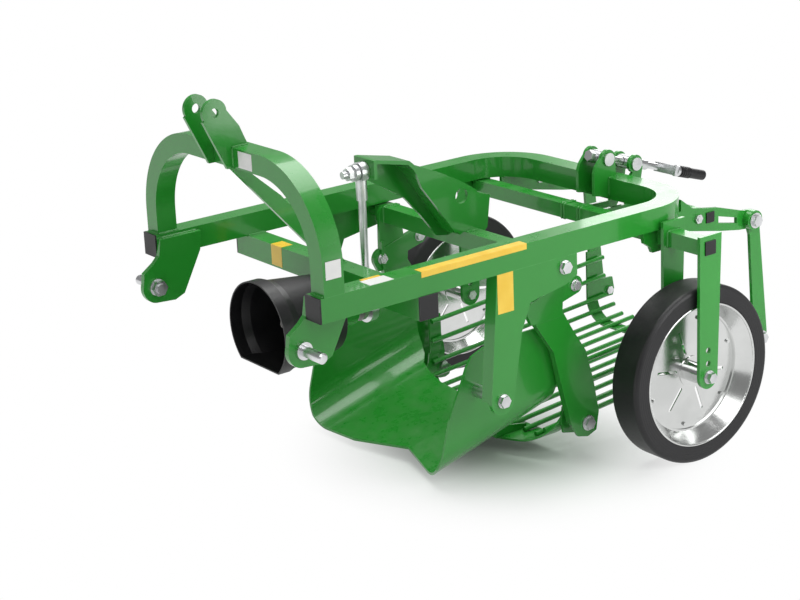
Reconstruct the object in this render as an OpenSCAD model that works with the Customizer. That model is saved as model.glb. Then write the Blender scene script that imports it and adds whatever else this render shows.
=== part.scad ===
// Tractor-mounted vibrating potato digger, built as an assembly of named sub-parts.
// All sizes are millimetres; X runs forward to the tractor, Y to the machine's left, Z up.

/* [Stance] */
// nose-down angle of the frame on level ground, degrees
stance_deg = 3.44; // [0:0.1:8]
// distance from the wheel axle to the middle of the machine's length
stance_x = 322.5; // [250:0.5:400]

/* [Frame] */
// half width over the two side beams
beam_half = 329; // [280:1:360]
// width of the square-section beam tube
beam_w = 48; // [40:1:60]
// height of the beam tube
beam_h = 50; // [40:1:60]
// wall of the beam tube
beam_wall = 4; // [3:0.5:6]
// height of the beam's top face over the wheel's lowest point
beam_top = 558; // [500:1:620]
// reach of the side beams in front of the arch
beam_over = 8; // [0:1:40]
// rear outer face of the U bend
beam_rear = -123; // [-200:1:-80]
// outer corner radius of the U bend
bend_r = 147; // [120:1:200]
// thickness of the moulded end plugs
plug_t = 4; // [2:0.5:8]
// front face of the front cross tube
cross_x = 678; // [640:1:740]
// size of the front cross tube along the machine
cross_w = 46; // [36:1:60]

/* [Headstock] */
// rear face of the arch tube
arch_x = 855; // [820:1:900]
// size of the arch tube
arch_w = 48; // [40:1:60]
// radial thickness of the arch tube
arch_t = 42; // [36:1:50]
// outer top of the arch
arch_top = 804; // [760:1:880]
// outer bend radius of the arch
arch_r = 196; // [160:1:240]
// half spacing over the two top-link ears
ear_half = 38; // [30:1:50]
// thickness of a top-link ear
ear_t = 8; // [6:1:12]
// distance from the arch's rear face forward to the top-link hole
ear_reach = 83; // [70:1:130]
// height of the top-link hole over the arch's outer top
ear_rise = 75; // [60:1:120]
// top-link hole radius
ear_hole_r = 9.75; // [9:0.25:13]
// lobe radius of the ears
ear_r = 28; // [22:1:36]
// thickness of the brace plate
brace_t = 10; // [6:1:14]

/* [Lower hitch] */
// distance from the beams' front end forward to the hitch pin
pin_reach = 14; // [4:1:40]
// distance from the beams' underside down to the hitch pin
pin_drop = 61; // [45:1:80]
// hitch pin radius
pin_r = 11; // [9:0.5:14.5]
// thickness of the link plates
plate_t = 12; // [8:1:16]
// lobe radius of the link plates
lobe_r = 35; // [30:1:44]
// reach of the pin's tip from the middle plane
pin_tip = 348; // [330:1:370]
// radius of the linchpin hole in the pin
linch_r = 3.5; // [2.5:0.5:5]

/* [PTO drive] */
// height of the PTO shaft's axis
pto_z = 397; // [380:1:440]
// throw of the eccentric crank
throw = 15; // [8:1:20]
// radius over the splines of the PTO stub
spline_r = 17.5; // [15:0.1:20]
// front mouth of the guard
guard_x = 849; // [820:1:900]
// outer radius of the guard's mouth
guard_r = 105; // [90:1:120]
// wall of the guard
guard_wall = 3; // [2:0.5:5]
// position of the connecting rod along the machine
rod_x = 565; // [560:1:600]
// radius of the rod's round bar
rod_r = 8.5; // [6:0.5:12]

/* [Rocker] */
// rockshaft axis along the machine
rock_x = 296; // [280:1:320]
// rockshaft axis height
rock_z = 485; // [480:1:505]
// size of the square rockshaft tube
rock_w = 38; // [30:1:44]
// top rod-eye height over the wheel's lowest point
eye_z = 683; // [660:1:720]
// thickness of the rocker's bent plate
rocker_t = 8; // [6:1:10]
// width of the rocker's front plate
rocker_w = 70; // [50:1:90]
// radius of the rocker's lightening hole
rocker_hole_r = 17; // [10:1:24]

/* [Side struts and levers] */
// thickness of the side strut plates
strut_t = 10; // [8:1:14]
// radius of the strut's lower end
strut_end = 30; // [24:1:40]
// height of the share bolt
share_bolt_z = 235; // [220:1:260]
// position of the share bolt
share_bolt_x = 471; // [460:1:500]
// thickness of the swing levers
lever_t = 8; // [6:1:12]
// gap between the sieve's side and the swing levers
lever_gap = 28; // [20:1:34]
// lower lever bolt along the machine
lever_bolt_x = 182; // [170:1:210]
// lower lever bolt height
lever_bolt_z = 90; // [80:1:110]

/* [Share] */
// outer half width of the share
share_half = 245; // [220:1:255]
// sheet thickness of the share
share_t = 5; // [4:0.5:8]
// height of the share tip over the wheel's lowest point
tip_z = 45; // [40:0.5:60]
// position of the share tips
tip_x = 575; // [560:1:620]
// upper edge of the share cheeks
cheek_top = 331; // [300:1:360]
// radius of the share's lower corners
corner_r = 75; // [50:1:100]

/* [Sieve] */
// half width over the sieve
sieve_half = 234; // [215:1:236]
// radius of the sieve rods
sieve_rod_r = 5.5; // [4:0.5:7]
// upward slope of the sieve rods towards the rear, degrees
sieve_deg = 4; // [0:0.5:8]
// rear end of the top sieve rod
sieve_rear = -345; // [-370:1:-300]
// front end of the sieve rods
sieve_front = 257; // [230:1:290]
// radius of the sieve's lower corners
sieve_r = 62; // [50:1:80]
// distance between the rods of the sieve's floor
low_step = 42; // [36:1:50]
// sheet thickness of the sieve's front band
band_t = 5; // [4:0.5:8]
// width of the strap hoop at the rear of the sieve
hoop_w = 34; // [24:1:46]
// hanger's lower bolt along the machine
hang_bolt_x = -362; // [-380:1:-340]
// hanger's lower bolt height
hang_bolt_z = 154; // [140:1:175]
// hanger's upper pivot along the machine
hang_x = -328; // [-350:1:-320]
// hanger's upper pivot height
hang_z = 446; // [440:1:470]
// length of the rubber block between the sieve and the hanger
bush_l = 30.4; // [26:0.2:34]
// thickness of the hangers
hang_t = 8; // [6:1:12]

/* [Wheels] */
// tyre radius
tyre_r = 199; // [180:1:220]
// tyre width
tyre_w = 76; // [60:1:90]
// outer face of the tyre from the middle plane
tyre_y = 435; // [420:1:437]
// bead radius of the wheel disc
bead_r = 161; // [150:1:172]
// radius where the rim's cones meet the disc
dish_r = 135; // [110:1:145]
// radius of the ring of rim bolts
rim_bolt_r = 119; // [90:1:128]
// thickness of the wheel disc's sheet
disc_t = 3; // [2:0.5:5]
// axle bolt radius
axle_r = 8; // [6:0.5:10]
// size of the square depth shaft
depth_w = 36; // [28:1:40]
// thickness of the fork legs
leg_t = 8; // [6:1:12]
// distance from the tyre's outer face to the outer fork leg's outer face
leg_gap_out = 15; // [13:1:20]
// distance from the tyre's inner face to the inner fork leg's outer face
leg_gap_in = 14; // [4:1:24]
// gap between the beams and the square depth shaft
shaft_gap = 3; // [1:0.5:8]
// half width over the whole machine
machine_half = 465; // [450:1:480]

/* [Depth crank] */
// front trunnion along the machine
trun_x = -73; // [-90:1:-60]
// height of the front trunnion over the beam's top face
trun_rise = 44; // [32:1:57]
// rear trunnion along the machine
nut_x = -159; // [-175:1:-150]
// height of the rear trunnion over the beam's top face
nut_rise = 17; // [7:1:27]
// middle of the spindle across the machine
crank_y = 45; // [30:1:60]
// spindle radius
spindle_r = 8; // [6:0.5:10]
// length of the crank arm
crank_arm = 45; // [35:1:60]
// grip radius
grip_r = 12; // [10:0.5:14]

/* [Clearances] */
// running clearance of a shaft in its hole
run_gap = 0.08; // [0.02:0.01:0.1]
// side gap between bodies that move past each other
side_gap = 0.6; // [0.4:0.1:2]
// radial clearance of a bolt in its hole
bolt_gap = 0.5; // [0.2:0.1:1]
// clearance of the spindle in the rear trunnion, which swings on the lift levers
nut_gap = 1.5; // [0.5:0.1:2.5]
// clearance at the two open pivots of the shaker linkage
open_gap = 2; // [2:0.5:6]

/* [Export] */
// node to draw

/* [Hidden] */
$fn = 64;
beam_bot = beam_top - beam_h;
beam_in = beam_half - beam_w;
cross_bot = beam_bot - beam_h;
trun_z = beam_top + trun_rise;
nut_z = beam_top + nut_rise;
beam_front = arch_x + arch_w + beam_over;
pin_x = beam_front + pin_reach;
pin_z = beam_bot - pin_drop;
lever_y = sieve_half + lever_gap + lever_t;
ear_x = arch_x + ear_reach;
ear_z = arch_top + ear_rise;
bolt_r = 8;
nut_r = 13.5;
nut_h = 10;
head_h = 8;
wash_r = 15;
wash_t = 2.5;
eps = 0.01;
big = 1000;
eye_x = rod_x;
crank_z = pto_z - throw;
disc_x = rod_x + 20;
slope = tan(sieve_deg);
green = [0.13, 0.55, 0.16];
zinc = [0.75, 0.77, 0.78];
black = [0.06, 0.06, 0.06];

// stand on the ground: origin under the middle of the machine, frame nose-down
module stand() {
  translate([-stance_x, 0, 0])
    translate([0, 0, tyre_r * (1 - cos(stance_deg))])
      rotate([0, stance_deg, 0])
        children();
}

// shape given in (x, z), drawn with its left face at y and running t towards the right
module side(y, t) {
  translate([0, y, 0])
    rotate([90, 0, 0])
      linear_extrude(t)
        children();
}

// shape given in (y, z), drawn from x over a length l forward
module across(x, l) {
  translate([x, 0, 0])
    rotate([90, 0, 90])
      linear_extrude(l)
        children();
}

// cylinder along Y, starting at y and running l to the left
module ycyl(x, y, z, r, l) {
  translate([x, y, z])
    rotate([-90, 0, 0])
      cylinder(r = r, h = l);
}

// cylinder along X, starting at x and running l forward
module xcyl(x, y, z, r, l) {
  translate([x, y, z])
    rotate([0, 90, 0])
      cylinder(r = r, h = l);
}

// hexagon prism along Y
module yhex(x, y, z, r, l) {
  translate([x, y, z])
    rotate([-90, 0, 0])
      cylinder(r = r, h = l, $fn = 6);
}

// hexagon prism along X
module xhex(x, y, z, r, l) {
  translate([x, y, z])
    rotate([0, 90, 0])
      cylinder(r = r, h = l, $fn = 6);
}

// both sides of the machine
module both() {
  children();
  mirror([0, 1, 0])
    children();
}

// plan shape of the U frame set in by o, open towards the front when long
module u_plan(o, front) {
  union() {
    translate([beam_rear + bend_r, -(beam_half - o)])
      square([front - beam_rear - bend_r, 2 * (beam_half - o)]);
    translate([beam_rear + o, -(beam_half - bend_r)])
      square([bend_r, 2 * (beam_half - bend_r)]);
    for (s = [-1, 1])
      translate([beam_rear + bend_r, s * (beam_half - bend_r)])
        circle(bend_r - o);
  }
}

module u_frame() {
  color(green)
    stand()
      difference() {
        translate([0, 0, beam_bot])
          linear_extrude(beam_h)
            difference() {
              u_plan(0, beam_front);
              u_plan(beam_w, beam_front + 1);
            }
        translate([0, 0, beam_bot + beam_wall])
          linear_extrude(beam_h - 2 * beam_wall)
            difference() {
              u_plan(beam_wall, beam_front + 1);
              u_plan(beam_w - beam_wall, beam_front + 2);
            }
      }
}

// moulded plug: a cap with a short boss that sits in the tube
module plug(w, h, wall, boss) {
  translate([0, -w / 2, -h / 2])
    cube([plug_t, w, h]);
  translate([-boss, -w / 2 + wall, -h / 2 + wall])
    cube([boss + eps, w - 2 * wall, h - 2 * wall]);
}

module frame_plugs() {
  color(black)
    stand()
      both()
        translate([beam_front, beam_half - beam_w / 2, beam_bot + beam_h / 2])
          plug(beam_w, beam_h, beam_wall, 12);
}

module front_cross() {
  color(green)
    stand()
      translate([cross_x - cross_w, 0, cross_bot])
        difference() {
          translate([0, -(beam_half - 2), 0])
            cube([cross_w, 2 * (beam_half - 2), beam_h]);
          translate([beam_wall, -beam_half, beam_wall])
            cube([cross_w - 2 * beam_wall, 2 * beam_half, beam_h - 2 * beam_wall]);
        }
}

module cross_plugs() {
  color(black)
    stand()
      both()
        translate([cross_x - cross_w / 2, beam_half - 2, cross_bot + beam_h / 2])
          rotate([0, 0, 90])
            plug(cross_w, beam_h, beam_wall, 12);
}

// front view of the arch set in by o
module arch_plan(o) {
  intersection() {
    union() {
      translate([-(beam_half - o), beam_top])
        square([2 * (beam_half - o), arch_top - arch_r - beam_top]);
      translate([-(beam_half - arch_r), beam_top])
        square([2 * (beam_half - arch_r), arch_top - o - beam_top]);
      for (s = [-1, 1])
        translate([s * (beam_half - arch_r), arch_top - arch_r])
          circle(arch_r - o);
    }
    translate([-beam_half, beam_top])
      square([2 * beam_half, big]);
  }
}

module headstock_arch() {
  color(green)
    stand()
      difference() {
        across(arch_x, arch_w)
          difference() {
            arch_plan(0);
            arch_plan(arch_t);
            translate([-(beam_half - arch_t), beam_top - 1])
              square([2 * (beam_half - arch_t), 2]);
          }
        across(arch_x + beam_wall, arch_w - 2 * beam_wall)
          difference() {
            arch_plan(beam_wall);
            arch_plan(arch_t - beam_wall);
            translate([-(beam_half - arch_t + beam_wall), beam_top - 1])
              square([2 * (beam_half - arch_t + beam_wall), 2]);
          }
      }
}

ear_pts = [[ear_x + ear_r, ear_z - 15], [arch_x + arch_w + 14, arch_top - arch_t],
           [arch_x + arch_w, arch_top - arch_t],
           [arch_x + arch_w, arch_top], [arch_x + 10, arch_top], [arch_x + 17, arch_top + 15],
           [arch_x + 28, arch_top + 41], [ear_x - 17, ear_z + 16]];

module top_link_ears() {
  color(green)
    stand()
      for (y = [ear_half, -ear_half + ear_t])
        side(y, ear_t)
          difference() {
            union() {
              translate([ear_x, ear_z])
                circle(ear_r);
              polygon(ear_pts);
            }
            translate([ear_x, ear_z])
              circle(ear_hole_r);
          }
}

// the brace spans from the cross tube up to the arch; its outline follows both
brace_run = (arch_x + arch_w + 6 - cross_x) / 231;
brace_rise = (arch_top - arch_t - beam_bot) / 254;
brace_rel = [[231, 254], [64, 68], [0, 0], [-38, 0], [-14, 28], [39, 90], [71, 112], [84, 138],
             [116, 176],
             [162, 216], [180, 232], [204, 254]];
brace_pts = [for (p = brace_rel) [cross_x + p[0] * brace_run, beam_bot + p[1] * brace_rise]];

module headstock_brace() {
  color(green)
    stand()
      side(ear_half, brace_t)
        polygon(brace_pts);
}

plate_pts = [[beam_front - 2, beam_top - 8], [beam_front - 105, beam_top - 8],
             [beam_front - 100, beam_bot], [pin_x - 67, pin_z - 28], [pin_x - 43, pin_z - 38],
             [pin_x, pin_z - lobe_r], [pin_x + lobe_r * 0.94, pin_z + lobe_r * 0.34],
             [pin_x + 30, pin_z + 35], [beam_front + 18, beam_bot - 8], [beam_front + 4, beam_bot + 6]];

module link_plate() {
  side(beam_in, plate_t)
    difference() {
      union() {
        polygon(plate_pts);
        translate([pin_x, pin_z])
          circle(lobe_r);
      }
      translate([pin_x, pin_z])
        circle(pin_r);
    }
}

module link_plate_left() {
  color(green)
    stand()
      link_plate();
}

module link_plate_right() {
  color(green)
    stand()
      mirror([0, 1, 0])
        link_plate();
}

// hitch pin with its collar outside and its nut inside the plate
module hitch_pin() {
  difference() {
    union() {
      ycyl(pin_x, beam_in - plate_t - 20, pin_z, pin_r, pin_tip - 3 - beam_in + plate_t + 20);
      translate([pin_x, pin_tip - 3, pin_z])
        rotate([-90, 0, 0])
          cylinder(r1 = pin_r, r2 = pin_r - 3, h = 3);
      ycyl(pin_x, beam_in, pin_z, pin_r + 7, 6);
      ycyl(pin_x, beam_in - plate_t - wash_t, pin_z, pin_r + 8, wash_t);
      yhex(pin_x, beam_in - plate_t - wash_t - 13, pin_z, pin_r + 7, 13);
    }
    translate([pin_x, pin_tip - 12, pin_z - pin_r - 1])
      cylinder(r = linch_r, h = 2 * pin_r + 2);
  }
}

module hitch_pin_left() {
  color(zinc)
    stand()
      hitch_pin();
}

module hitch_pin_right() {
  color(zinc)
    stand()
      mirror([0, 1, 0])
        hitch_pin();
}

strut_pts = [[478, beam_bot], [share_bolt_x + strut_end, share_bolt_z],
             [share_bolt_x - strut_end, share_bolt_z], [415, 374], [390, 431], [294, 446], [261, 461],
             [261, beam_bot]];

module side_strut() {
  difference() {
    union() {
      side(beam_half, strut_t)
        union() {
          polygon(strut_pts);
          translate([share_bolt_x, share_bolt_z])
            circle(strut_end);
        }
      side(beam_half - strut_t, 22)
        polygon([[478, beam_bot], [share_bolt_x + strut_end, share_bolt_z],
                 [share_bolt_x + strut_end - 8, share_bolt_z], [470, beam_bot]]);
    }
    ycyl(rock_x, beam_half - 2 * strut_t, rock_z, bolt_r, 3 * strut_t);
    ycyl(share_bolt_x, beam_half - 2 * strut_t, share_bolt_z, bolt_r, 3 * strut_t);
  }
}

module side_strut_left() {
  color(green)
    stand()
      side_strut();
}

module side_strut_right() {
  color(green)
    stand()
      mirror([0, 1, 0])
        side_strut();
}

house_x = 615;
house_l = cross_x - house_x;

module pto_bearing() {
  color(green)
    stand()
      difference() {
        union() {
          xcyl(house_x, 0, pto_z, 42, house_l);
          translate([house_x + 18, -40, pto_z])
            cube([house_l - 18, 80, cross_bot - pto_z]);
          translate([house_x + house_l - 10, -50, pto_z - 50])
            cube([10, 100, 100]);
        }
        xcyl(house_x - 1, 0, pto_z, 20 + run_gap, house_l + 2);
        for (a = [45:90:315])
          xcyl(house_x + house_l - 12, 56 * cos(a), pto_z + 56 * sin(a), 4.5, 14);
      }
}

// splined stub, journal and eccentric disc of the PTO shaft
module pto_shaft() {
  color(zinc)
    stand() {
      difference() {
        xcyl(686, 0, pto_z, spline_r, 94);
        for (a = [0:60:300])
          translate([704, 0, pto_z])
            rotate([a, 0, 0])
              translate([0, spline_r - 2.6, -4.3])
                cube([90, 5, 8.6]);
      }
      xcyl(disc_x + 8, 0, pto_z, 20, 686 - disc_x - 8);
      difference() {
        xcyl(disc_x, 0, pto_z, 38, 10);
        xcyl(disc_x - 1, 0, crank_z, 6, 12);
      }
    }
}

// solid of the guard with radius rf at the mouth and rr at the back
module guard_body(x0, rf, rb, flat) {
  translate([0, 0, pto_z])
    intersection() {
      union() {
        translate([guard_x - 28, 0, 0])
          rotate([0, 90, 0])
            cylinder(r = rf, h = 28 + (x0 > 680 ? 1 : 0));
        translate([guard_x - 46, 0, 0])
          rotate([0, 90, 0])
            cylinder(r1 = rf - 7, r2 = rf, h = 18 + eps);
        translate([x0, 0, 0])
          rotate([0, 90, 0])
            cylinder(r1 = rb, r2 = rf - 7, h = guard_x - 46 - x0 + eps);
      }
      translate([x0 - 1, -big / 2, -flat])
        cube([big, big, big]);
    }
}

module pto_guard() {
  color(black)
    stand() {
      difference() {
        guard_body(house_x + house_l, guard_r, 84, 78);
        guard_body(house_x + house_l + 4, guard_r - guard_wall, 84 - guard_wall, 78 - guard_wall);
        xcyl(house_x, 0, pto_z, 30, 2 * house_l);
      }
      translate([guard_x - 22, -guard_r - 5, pto_z - 10])
        cube([14, 6, 10]);
    }
}

module connecting_rod() {
  color(zinc)
    stand() {
      difference() {
        union() {
          xcyl(rod_x - 9, 0, eye_z, 21, 18);
          translate([rod_x, 0, crank_z + 20])
            cylinder(r = rod_r, h = eye_z - crank_z - 34);
          translate([rod_x, 0, eye_z - 62])
            cylinder(r = rod_r + 3.5, h = 46);
          xcyl(rod_x - 9, 0, crank_z, 32, 18);
        }
        xcyl(rod_x - 10, 0, eye_z, bolt_r + run_gap, 20);
        xcyl(rod_x - 10, 0, crank_z, 20, 4);
        xcyl(rod_x + 6, 0, crank_z, 20, 4);
      }
      xcyl(rod_x - 15, 0, crank_z, 12, 15);
      xcyl(rod_x - 8, 0, crank_z, 10, 20);
    }
}

module rod_bolt() {
  color(zinc)
    stand() {
      xcyl(flange_x - 12, 0, eye_z, bolt_r, 78);
      xcyl(rod_x + 9 + side_gap, 0, eye_z, 16, 4);
      xcyl(rod_x + 13 + side_gap, 0, eye_z, 18, 9);
      xhex(rod_x + 22 + side_gap, 0, eye_z, 14.5, 14);
      xhex(rod_x - 9 - side_gap - rocker_t - 10, 0, eye_z, nut_r, 10);
    }
}

flange_x = rod_x - 9 - side_gap - rocker_t;
flange_bot = eye_z - 14;
arm_pts = [[flange_x + rocker_t, eye_z + 27], [461, eye_z + 9], [443, eye_z - 7],
           [323, rock_z + rock_w / 2],
           [rock_x + rock_w / 2, rock_z + rock_w / 2], [rock_x + rock_w / 2, rock_z],
           [345, rock_z + 5], [392, rock_z + 64], [433, eye_z - 89], [482, eye_z - 58],
           [flange_x + rocker_t, flange_bot]];
gus_pts = [[453, eye_z], [380, eye_z - 32], [313, eye_z - 68], [282, rock_z + 109], [272, rock_z + 93],
           [rock_x - rock_w / 2, rock_z + rock_w / 2], [rock_x + rock_w / 2, rock_z + rock_w / 2],
           [345, rock_z + 25], [392, rock_z + 91], [431, eye_z - 56]];

module rocker_arm() {
  color(green)
    stand()
      difference() {
        union() {
          side(-rocker_w / 2 + rocker_t, rocker_t)
            polygon(arm_pts);
          side(rocker_w / 2, rocker_t)
            difference() {
              polygon(gus_pts);
              translate([323, rock_z + 103])
                circle(rocker_hole_r);
            }
          side(rocker_w / 2, rocker_w)
            polygon([[461, eye_z + 9], [443, eye_z - 7], [323, rock_z + rock_w / 2],
                     [332, rock_z + rock_w / 2 - 2], [451, eye_z - 13], [466, eye_z + 2]]);
          side(rocker_w / 2, rocker_w)
            polygon([[flange_x, eye_z + 27], [flange_x + rocker_t, eye_z + 27],
                     [flange_x + rocker_t, flange_bot],
                     [flange_x, flange_bot]]);
          side(rocker_w / 2, rocker_w)
            polygon([[461, eye_z + 9], [flange_x, eye_z + 27], [flange_x, eye_z + 19],
                     [463, eye_z + 1]]);
          side(rocker_w / 2, rocker_w)
            polygon([[243, rock_z + 90], [267, rock_z + 98], [292, rock_z + 60],
                     [292, rock_z + rock_w / 2], [rock_x - rock_w / 2, rock_z + rock_w / 2],
                     [rock_x - rock_w / 2, rock_z], [253, rock_z + 18]]);
        }
        xcyl(flange_x - 1, 0, eye_z, bolt_r, rocker_t + 2);
      }
}

module rockshaft() {
  color(green)
    stand()
      difference() {
        union() {
          difference() {
            translate([rock_x - rock_w / 2, -(beam_half - 35), rock_z - rock_w / 2])
              cube([rock_w, 2 * (beam_half - 35), rock_w]);
            translate([rock_x - rock_w / 2 + beam_wall, -(beam_half - 75), rock_z - rock_w / 2 + beam_wall])
              cube([rock_w - 2 * beam_wall, 2 * (beam_half - 75), rock_w - 2 * beam_wall]);
          }
          both()
            ycyl(rock_x, beam_half - 36, rock_z, 17, 36 - strut_t - side_gap);
        }
        both()
          ycyl(rock_x, beam_half - 60, rock_z, bolt_r + run_gap, 60);
      }
}

lever_pts = [[rock_x + 32, rock_z + 5], [rock_x + 34, rock_z - 54], [331, 377], [326, 349],
             [277, 277], [260, 209],
             [lever_bolt_x + 48, lever_bolt_z + 8],
             [lever_bolt_x + 28, lever_bolt_z - 25], [lever_bolt_x, lever_bolt_z - 32],
             [lever_bolt_x - 25, lever_bolt_z - 23], [lever_bolt_x - 33, lever_bolt_z + 19],
             [164, 186], [185, 259],
             [220, 312], [251, 365], [257, 404], [rock_x - 32, rock_z - 24], [rock_x - 30, rock_z + 17],
             [rock_x + 26, rock_z + 19]];

module swing_lever() {
  side(lever_y, lever_t)
    difference() {
      polygon(lever_pts);
      translate([rock_x - rock_w / 2, rock_z - rock_w / 2])
        square(rock_w);
      translate([lever_bolt_x, lever_bolt_z])
        circle(bolt_r + run_gap);
    }
}

module swing_lever_left() {
  color(green)
    stand()
      swing_lever();
}

module swing_lever_right() {
  color(green)
    stand()
      mirror([0, 1, 0])
        swing_lever();
}

module pivot_bolts() {
  color(zinc)
    stand()
      both() {
        ycyl(rock_x, beam_half - 44, rock_z, bolt_r, 44 + wash_t);
        ycyl(rock_x, beam_half, rock_z, wash_r, wash_t);
        yhex(rock_x, beam_half + wash_t, rock_z, nut_r, head_h);
      }
}

share_deg = 14.6;

// trough profile, outer half width w, corner radius r, height h, bottom at zero
module trough(w, r, h) {
  union() {
    translate([-w, r])
      square([2 * w, h - r]);
    translate([-(w - r), 0])
      square([2 * (w - r), h]);
    for (s = [-1, 1])
      translate([s * (w - r), r])
        circle(r);
  }
}

module trough_ring(w, r, h, t) {
  difference() {
    trough(w, r, h);
    translate([0, t])
      trough(w - t, r - t, h);
  }
}

cheek_pts = [[tip_x + 2, -20], [tip_x + 2, tip_z + 4], [562, 127], [546, 187], [529, 225], [512, 257],
             [498, 290], [482, 312], [441, cheek_top - 4], [412, cheek_top], [301, cheek_top],
             [264, 266], [247, 216], [245, 150], [245, -20]];
edge_pts = [[tip_x + 20, -big], [tip_x, -share_half], [568, -134], [564, -75], [521, 66],
            [tip_x, share_half - 8], [tip_x + 20, big], [240, big], [247, 226], [255, 206], [273, 187],
            [292, 140], [308, 100], [320, 60], [314, -10], [308, -80], [292, -140], [273, -187],
            [255, -206], [247, -226], [240, -big]];

module share() {
  color(green)
    stand()
      difference() {
        intersection() {
          translate([tip_x, 0, tip_z])
            rotate([0, share_deg, 0])
              translate([-560, 0, 0])
                across(0, 700)
                  trough_ring(share_half, corner_r, 460, share_t);
          side(share_half + 1, 2 * share_half + 2)
            polygon(cheek_pts);
          linear_extrude(big)
            polygon(edge_pts);
        }
        both()
          ycyl(share_bolt_x, share_half - 20, share_bolt_z, bolt_r, 40);
      }
}

module share_bolts() {
  color(zinc)
    stand()
      both() {
        ycyl(share_bolt_x, share_half - share_t - wash_t, share_bolt_z,
             bolt_r, beam_half + 2 * wash_t + share_t - share_half);
        ycyl(share_bolt_x, share_half, share_bolt_z, 14, beam_half - strut_t - share_half);
        ycyl(share_bolt_x, beam_half, share_bolt_z, wash_r, wash_t);
        yhex(share_bolt_x, beam_half + wash_t, share_bolt_z, nut_r, head_h);
        ycyl(share_bolt_x, share_half - share_t - 5, share_bolt_z, nut_r, 5);
      }
}

band_bot = 47;
band_mask = [[218, 40], [184, 150], [184, 221], [218, 221], [218, 140], [323, 120], [323, 40]];

module sieve_band() {
  color(green)
    stand()
      difference() {
        union() {
          intersection() {
            translate([0, 0, band_bot])
              across(180, 220)
                trough_ring(sieve_half, sieve_r, 260, band_t);
            side(sieve_half + 1, 2 * sieve_half + 2)
              polygon(band_mask);
          }
          side(sieve_half - sieve_r, 2 * (sieve_half - sieve_r))
            polygon([[323, band_bot], [355, 82], [352, 86], [322, band_bot + band_t]]);
          both() {
            side(sieve_half - sieve_r, band_t)
              polygon([[235, band_bot + band_t], [323, band_bot + band_t], [343, 74], [235, 74]]);
            side(sieve_half, band_t)
              polygon([[218, 127], [212, band_bot + sieve_r], [159, 73], [164, 61], [188, 58], [222, 66],
                       [235, 127]]);
            ycyl(lever_bolt_x, sieve_half - band_t, lever_bolt_z, 19,
                 lever_y - lever_t - side_gap - sieve_half + band_t);
          }
        }
        both()
          ycyl(lever_bolt_x, sieve_half - 20, lever_bolt_z, bolt_r, 60);
      }
}

side_z = [205, 156, 103];
low_first = 20;
low_y = [for (i = [0:4]) i < 4 ? low_first + i * low_step : sieve_half - sieve_r + 12];
rod_y = sieve_half - band_t - sieve_rod_r;
rod_end = [-338, -342, -346, -364];

side_front = 216;

// one sieve rod from x1 to its free rear end at x; z is its height at the sieve's front
module sieve_rod(y, z, x1, x) {
  translate([x1, y, z + (sieve_front - x1) * slope])
    rotate([0, -90 + sieve_deg, 0])
      cylinder(r = sieve_rod_r, h = (x1 - x) / cos(sieve_deg), $fn = 20);
}

module sieve_rods() {
  color(green)
    stand()
      for (s = [-1, 1]) {
        for (i = [0:2])
          sieve_rod(s * rod_y, side_z[i], side_front, rod_end[i]);
        sieve_rod(s * (rod_y - 11), 76, sieve_front, rod_end[3]);
        for (y = low_y)
          sieve_rod(s * y, band_bot + band_t + sieve_rod_r, sieve_front, rod_end[3]);
      }
}

hoop_x = -323;
hoop_bot = band_bot + (sieve_front - hoop_x - hoop_w / 2) * slope;

module sieve_hoop() {
  color(green)
    stand()
      difference() {
        union() {
          translate([0, 0, hoop_bot])
            across(hoop_x, hoop_w)
              trough_ring(sieve_half, sieve_r, hang_bolt_z + 28, band_t);
          both()
            side(sieve_half, band_t)
              polygon([[hoop_x + 6, hang_bolt_z - 17], [hang_bolt_x - 14, hang_bolt_z - 17],
                       [hang_bolt_x - 19, hang_bolt_z], [hang_bolt_x - 13, hang_bolt_z + 32],
                       [hoop_x + 6, hang_bolt_z + 36]]);
        }
        both()
          ycyl(hang_bolt_x, sieve_half - 20, hang_bolt_z, bolt_r, 40);
      }
}

hang_in = sieve_half + bush_l + side_gap;

module sieve_bushes() {
  color(black)
    stand()
      both()
        difference() {
          translate([hang_bolt_x - 15, sieve_half, hang_bolt_z - 15])
            cube([30, hang_in - side_gap - sieve_half, 30]);
          ycyl(hang_bolt_x, sieve_half - 1, hang_bolt_z, bolt_r, hang_in - sieve_half + 2);
        }
}

module sieve_bolts() {
  color(zinc)
    stand()
      both() {
        ycyl(hang_bolt_x, sieve_half - band_t - 4, hang_bolt_z, bolt_r,
             hang_in + hang_t + side_gap + wash_t - sieve_half + band_t + 4);
        ycyl(hang_bolt_x, hang_in + hang_t + side_gap, hang_bolt_z, 17, wash_t);
        yhex(hang_bolt_x, hang_in + hang_t + side_gap + wash_t, hang_bolt_z, nut_r, head_h);
        yhex(hang_bolt_x, sieve_half - band_t - 7, hang_bolt_z, 11, 7);
        ycyl(lever_bolt_x, sieve_half - band_t - 4, lever_bolt_z, bolt_r,
             lever_y + side_gap + wash_t - sieve_half + band_t + 4);
        ycyl(lever_bolt_x, lever_y + side_gap, lever_bolt_z, 17, wash_t);
        yhex(lever_bolt_x, lever_y + side_gap + wash_t, lever_bolt_z, nut_r, head_h);
        yhex(lever_bolt_x, sieve_half - band_t - 7, lever_bolt_z, 11, 7);
      }
}

hang_pts = [[hang_x + 20, hang_z], [hang_x + 8, hang_z - 34], [hang_bolt_x + 24, hang_bolt_z + 12],
            [hang_bolt_x + 19, hang_bolt_z], [hang_bolt_x - 19, hang_bolt_z],
            [hang_bolt_x - 18, hang_bolt_z + 18], [hang_x - 24, hang_z - 23], [hang_x - 22, hang_z]];

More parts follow.
